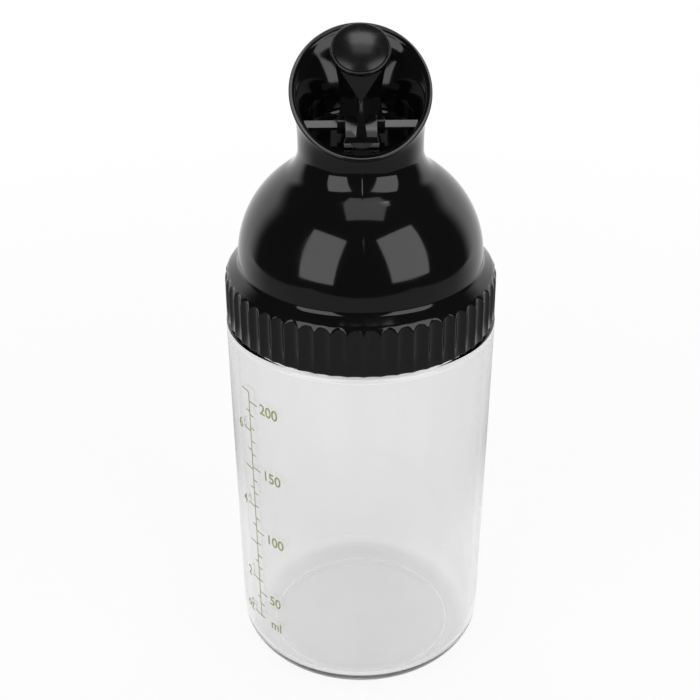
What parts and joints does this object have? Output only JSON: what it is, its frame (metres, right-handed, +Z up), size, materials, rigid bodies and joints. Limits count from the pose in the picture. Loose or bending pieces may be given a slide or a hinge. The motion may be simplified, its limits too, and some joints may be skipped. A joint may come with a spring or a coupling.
{
  "type": "salad dressing shaker bottle",
  "caption": "Clear tapered shaker bottle with a volume scale, a black domed screw lid with fluted collar and slanted pouring spout, and a thumb lever that lifts the spout's stopper.",
  "frame": {"origin": "centre of the bottle's foot, on the surface it stands on", "axes": "+Z up along the bottle's axis, -Y towards the pouring side of the spout, +X to the right seen from the pouring side"},
  "size_m": [0.0632, 0.0632, 0.16],
  "materials": {
    "clear_plastic": "clear, polished",
    "black_plastic": "gloss moulded",
    "pad_plastic": "satin moulded",
    "silicone": "matte"
  },
  "bodies": {
    "bottle": {"bottle": "clear_plastic"},
    "gasket": {"rim_gasket": "silicone"},
    "lid": {"lid": "black_plastic", "lever_pin": "black_plastic"},
    "lever": {"lever": "black_plastic", "stopper": "silicone", "thumb_pad": "pad_plastic"}
  },
  "joints": [
    {"name": "lid_lift", "type": "slide", "parent": "bottle", "child": "gasket", "axis": [0, 0, 1], "range_m": [0, 0.0057]},
    {"name": "lid_turn", "type": "hinge", "parent": "gasket", "child": "lid", "pos_m": [0, 0, 0.0925], "axis": [0, 0, 1], "range_deg": [0, 405]},
    {"name": "lever_tilt", "type": "hinge", "parent": "lid", "child": "lever", "pos_m": [0, -0.0027, 0.1398], "axis": [-1, 0, 0], "range_deg": [0, 27]}
  ],
  "couplings": [
    {"joint": "lid_lift", "follows": "lid_turn", "m_per_rad": 0.00079577}
  ]
}
